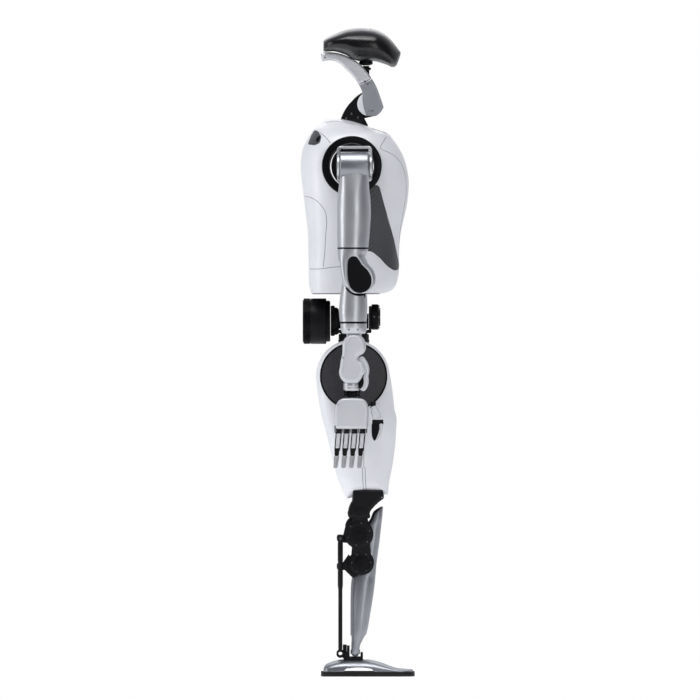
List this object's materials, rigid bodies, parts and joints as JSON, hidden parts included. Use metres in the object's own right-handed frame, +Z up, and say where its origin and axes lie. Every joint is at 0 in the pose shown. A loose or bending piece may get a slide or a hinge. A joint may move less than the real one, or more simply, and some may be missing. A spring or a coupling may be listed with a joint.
{
  "type": "humanoid robot",
  "caption": "Full-size walking humanoid robot with a black visor head on a curved neck, silver arms, five-digit hands, woven hip discs and rod-driven ankles.",
  "frame": {"origin": "centre of the footprint of the outer box, on the floor under the soles", "axes": "+X the way the robot faces, +Y its left hand side, +Z up"},
  "size_m": [0.301, 0.558, 1.7076],
  "materials": {
    "white_shell": "cool white paint, satin gloss",
    "silver_metal": "satin metallic silver",
    "silver_paint": "pale silver paint, satin",
    "visor": "deep black, mirror gloss",
    "black_metal": "black anodised",
    "black_plastic": "black, satin",
    "dark_panel": "dark grey, fine texture",
    "carbon": "dark woven composite",
    "fingertip": "grey, matte",
    "sole_rubber": "black, matte",
    "frame": "dark anodised",
    "battery": "dark grey, matte"
  },
  "bodies": {
    "pelvis": {"pelvis_frame": "frame"},
    "waist_yoke": {"waist_yoke": "black_metal", "waist_roll_motor": "black_metal"},
    "waist_cross": {"waist_cross": "black_metal"},
    "torso": {"torso_frame": "frame", "chest_shell": "white_shell", "back_shell": "white_shell", "side_panels": "dark_panel", "shoulder_rings": "black_plastic", "battery_pack": "battery", "neck_stem": "black_metal"},
    "neck": {"neck_arc": "silver_paint"},
    "head": {"visor_shell": "visor", "head_swivel": "black_metal"},
    "right_shoulder": {"right_shoulder_fork": "silver_metal"},
    "right_upper_arm": {"right_upper_arm": "silver_metal"},
    "right_elbow": {"right_elbow_housing": "silver_metal", "right_elbow_cap": "black_plastic"},
    "right_forearm": {"right_forearm": "silver_metal"},
    "right_wrist": {"right_wrist_sleeve": "silver_metal"},
    "right_wrist_link": {"right_wrist_link": "silver_metal"},
    "right_palm": {"right_palm": "silver_paint"},
    "right_fingers": {"right_fingers_proximal": "silver_metal"},
    "right_fingertips": {"right_fingers_distal": "fingertip"},
    "right_thumb": {"right_thumb_base": "silver_metal"},
    "right_thumb_tip": {"right_thumb_tip": "black_plastic"},
    "right_hip_roll": {"right_hip_roll_link": "black_metal"},
    "right_hip_yaw": {"right_hip_yaw_link": "black_metal"},
    "right_thigh": {"right_thigh_shell": "white_shell", "right_hip_disc": "carbon", "right_knee_casting": "black_metal"},
    "right_shank": {"right_shank_frame": "black_metal", "right_calf_shell": "silver_metal"},
    "right_rods": {"right_ankle_rods": "black_metal"},
    "right_ankle": {"right_ankle_cross": "black_metal"},
    "right_foot": {"right_foot_shell": "silver_paint", "right_sole": "sole_rubber"},
    "left_shoulder": {"left_shoulder_fork": "silver_metal"},
    "left_upper_arm": {"left_upper_arm": "silver_metal"},
    "left_elbow": {"left_elbow_housing": "silver_metal", "left_elbow_cap": "black_plastic"},
    "left_forearm": {"left_forearm": "silver_metal"},
    "left_wrist": {"left_wrist_sleeve": "silver_metal"},
    "left_wrist_link": {"left_wrist_link": "silver_metal"},
    "left_palm": {"left_palm": "silver_paint"},
    "left_fingers": {"left_fingers_proximal": "silver_metal"},
    "left_fingertips": {"left_fingers_distal": "fingertip"},
    "left_thumb": {"left_thumb_base": "silver_metal"},
    "left_thumb_tip": {"left_thumb_tip": "black_plastic"},
    "left_hip_roll": {"left_hip_roll_link": "black_metal"},
    "left_hip_yaw": {"left_hip_yaw_link": "black_metal"},
    "left_thigh": {"left_thigh_shell": "white_shell", "left_hip_disc": "carbon", "left_knee_casting": "black_metal"},
    "left_shank": {"left_shank_frame": "black_metal", "left_calf_shell": "silver_metal"},
    "left_rods": {"left_ankle_rods": "black_metal"},
    "left_ankle": {"left_ankle_cross": "black_metal"},
    "left_foot": {"left_foot_shell": "silver_paint", "left_sole": "sole_rubber"}
  },
  "joints": [
    {"name": "waist_yaw", "type": "hinge", "parent": "pelvis", "child": "waist_yoke", "pos_m": [-0.01, 0, 0.905], "axis": [0, 0, 1], "range_deg": [-40, 40]},
    {"name": "waist_roll", "type": "hinge", "parent": "waist_yoke", "child": "waist_cross", "pos_m": [-0.01, 0, 0.935], "axis": [1, 0, 0], "range_deg": [-10, 10]},
    {"name": "waist_pitch", "type": "hinge", "parent": "waist_cross", "child": "torso", "pos_m": [-0.01, 0, 0.972], "axis": [0, 1, 0], "range_deg": [-4, 30]},
    {"name": "neck_pitch", "type": "hinge", "parent": "torso", "child": "neck", "pos_m": [0.03, 0, 1.507], "axis": [0, 1, 0], "range_deg": [-15, 20]},
    {"name": "head_yaw", "type": "hinge", "parent": "neck", "child": "head", "pos_m": [0.022, 0, 1.61], "axis": [0, 0, 1], "range_deg": [-25, 25]},
    {"name": "right_shoulder_pitch", "type": "hinge", "parent": "torso", "child": "right_shoulder", "pos_m": [-0.015, -0.18, 1.343], "axis": [0, 1, 0], "range_deg": [-150, 50]},
    {"name": "right_shoulder_roll", "type": "hinge", "parent": "right_shoulder", "child": "right_upper_arm", "pos_m": [-0.00815, -0.236, 1.343], "axis": [1, 0, 0], "range_deg": [-100, 3]},
    {"name": "right_upper_arm_yaw", "type": "hinge", "parent": "right_upper_arm", "child": "right_elbow", "pos_m": [-0.011, -0.236, 1.126], "axis": [0, 0, 1], "range_deg": [-45, 45]},
    {"name": "right_elbow", "type": "hinge", "parent": "right_elbow", "child": "right_forearm", "pos_m": [0.005, -0.236, 1.045], "axis": [0, 1, 0], "range_deg": [-115, 0]},
    {"name": "right_hip_pitch", "type": "hinge", "parent": "right_hip_yaw", "child": "right_thigh", "pos_m": [-0.0105, -0.062, 0.7905], "axis": [0, 1, 0], "range_deg": [-100, 20]},
    {"name": "right_knee", "type": "hinge", "parent": "right_thigh", "child": "right_shank", "pos_m": [0.0063, -0.105, 0.432], "axis": [0, 1, 0], "range_deg": [0, 85]},
    {"name": "right_hip_roll", "type": "hinge", "parent": "pelvis", "child": "right_hip_roll", "pos_m": [-0.0105, -0.042, 0.85], "axis": [1, 0, 0], "range_deg": [-15, 6]},
    {"name": "right_hip_yaw", "type": "hinge", "parent": "right_hip_roll", "child": "right_hip_yaw", "pos_m": [-0.0105, -0.042, 0.825], "axis": [0, 0, 1], "range_deg": [-18, 18]},
    {"name": "right_ankle_pitch", "type": "hinge", "parent": "right_shank", "child": "right_ankle", "pos_m": [-0.006, -0.105, 0.064], "axis": [0, 1, 0], "range_deg": [-30, 30]},
    {"name": "right_rod_slide", "type": "slide", "parent": "right_shank", "child": "right_rods", "axis": [0, 0, 1], "range_m": [-0.022, 0.022]},
    {"name": "right_ankle_roll", "type": "hinge", "parent": "right_ankle", "child": "right_foot", "pos_m": [-0.006, -0.105, 0.064], "axis": [1, 0, 0], "range_deg": [-8, 8]},
    {"name": "right_wrist_yaw", "type": "hinge", "parent": "right_forearm", "child": "right_wrist", "pos_m": [-0.01, -0.236, 0.931], "axis": [0, 0, 1], "range_deg": [-45, 45]},
    {"name": "right_wrist_pitch", "type": "hinge", "parent": "right_wrist", "child": "right_wrist_link", "pos_m": [-0.009, -0.236, 0.871], "axis": [0, 1, 0], "range_deg": [-40, 40]},
    {"name": "right_wrist_roll", "type": "hinge", "parent": "right_wrist_link", "child": "right_palm", "pos_m": [-0.015, -0.236, 0.745], "axis": [1, 0, 0], "range_deg": [-20, 20]},
    {"name": "right_finger_curl", "type": "hinge", "parent": "right_palm", "child": "right_fingers", "pos_m": [-0.018, -0.236, 0.647], "axis": [1, 0, 0], "range_deg": [0, 80]},
    {"name": "right_fingertip_curl", "type": "hinge", "parent": "right_fingers", "child": "right_fingertips", "pos_m": [-0.024, -0.236, 0.589], "axis": [1, 0, 0], "range_deg": [0, 80]},
    {"name": "right_thumb_swing", "type": "hinge", "parent": "right_palm", "child": "right_thumb", "pos_m": [0.041, -0.236, 0.717], "axis": [0, 0, -1], "range_deg": [-50, 0]},
    {"name": "right_thumb_curl", "type": "hinge", "parent": "right_thumb", "child": "right_thumb_tip", "pos_m": [0.048, -0.236, 0.67], "axis": [-1, 0, 0], "range_deg": [-25, 0]},
    {"name": "left_shoulder_pitch", "type": "hinge", "parent": "torso", "child": "left_shoulder", "pos_m": [-0.015, 0.18, 1.343], "axis": [0, 1, 0], "range_deg": [-150, 50]},
    {"name": "left_shoulder_roll", "type": "hinge", "parent": "left_shoulder", "child": "left_upper_arm", "pos_m": [-0.00815, 0.236, 1.343], "axis": [-1, 0, 0], "range_deg": [-100, 3]},
    {"name": "left_upper_arm_yaw", "type": "hinge", "parent": "left_upper_arm", "child": "left_elbow", "pos_m": [-0.011, 0.236, 1.126], "axis": [0, 0, -1], "range_deg": [-45, 45]},
    {"name": "left_elbow", "type": "hinge", "parent": "left_elbow", "child": "left_forearm", "pos_m": [0.005, 0.236, 1.045], "axis": [0, 1, 0], "range_deg": [-115, 0]},
    {"name": "left_hip_pitch", "type": "hinge", "parent": "left_hip_yaw", "child": "left_thigh", "pos_m": [-0.0105, 0.062, 0.7905], "axis": [0, 1, 0], "range_deg": [-100, 20]},
    {"name": "left_knee", "type": "hinge", "parent": "left_thigh", "child": "left_shank", "pos_m": [0.0063, 0.105, 0.432], "axis": [0, 1, 0], "range_deg": [0, 85]},
    {"name": "left_hip_roll", "type": "hinge", "parent": "pelvis", "child": "left_hip_roll", "pos_m": [-0.0105, 0.042, 0.85], "axis": [1, 0, 0], "range_deg": [-6, 15]},
    {"name": "left_hip_yaw", "type": "hinge", "parent": "left_hip_roll", "child": "left_hip_yaw", "pos_m": [-0.0105, 0.042, 0.825], "axis": [0, 0, 1], "range_deg": [-18, 18]},
    {"name": "left_ankle_pitch", "type": "hinge", "parent": "left_shank", "child": "left_ankle", "pos_m": [-0.006, 0.105, 0.064], "axis": [0, 1, 0], "range_deg": [-30, 30]},
    {"name": "left_rod_slide", "type": "slide", "parent": "left_shank", "child": "left_rods", "axis": [0, 0, 1], "range_m": [-0.022, 0.022]},
    {"name": "left_ankle_roll", "type": "hinge", "parent": "left_ankle", "child": "left_foot", "pos_m": [-0.006, 0.105, 0.064], "axis": [1, 0, 0], "range_deg": [-8, 8]},
    {"name": "left_wrist_yaw", "type": "hinge", "parent": "left_forearm", "child": "left_wrist", "pos_m": [-0.01, 0.236, 0.931], "axis": [0, 0, -1], "range_deg": [-45, 45]},
    {"name": "left_wrist_pitch", "type": "hinge", "parent": "left_wrist", "child": "left_wrist_link", "pos_m": [-0.009, 0.236, 0.871], "axis": [0, 1, 0], "range_deg": [-40, 40]},
    {"name": "left_wrist_roll", "type": "hinge", "parent": "left_wrist_link", "child": "left_palm", "pos_m": [-0.015, 0.236, 0.745], "axis": [-1, 0, 0], "range_deg": [-20, 20]},
    {"name": "left_finger_curl", "type": "hinge", "parent": "left_palm", "child": "left_fingers", "pos_m": [-0.018, 0.236, 0.647], "axis": [-1, 0, 0], "range_deg": [0, 80]},
    {"name": "left_fingertip_curl", "type": "hinge", "parent": "left_fingers", "child": "left_fingertips", "pos_m": [-0.024, 0.236, 0.589], "axis": [-1, 0, 0], "range_deg": [0, 80]},
    {"name": "left_thumb_swing", "type": "hinge", "parent": "left_palm", "child": "left_thumb", "pos_m": [0.041, 0.236, 0.717], "axis": [0, 0, 1], "range_deg": [-50, 0]},
    {"name": "left_thumb_curl", "type": "hinge", "parent": "left_thumb", "child": "left_thumb_tip", "pos_m": [0.048, 0.236, 0.67], "axis": [1, 0, 0], "range_deg": [-25, 0]}
  ],
  "couplings": [
    {"joint": "right_rod_slide", "follows": "right_ankle_pitch", "m_per_rad": 0.0395},
    {"joint": "right_fingertip_curl", "follows": "right_finger_curl", "ratio": 0.95},
    {"joint": "left_rod_slide", "follows": "left_ankle_pitch", "m_per_rad": 0.0395},
    {"joint": "left_fingertip_curl", "follows": "left_finger_curl", "ratio": 0.95}
  ]
}
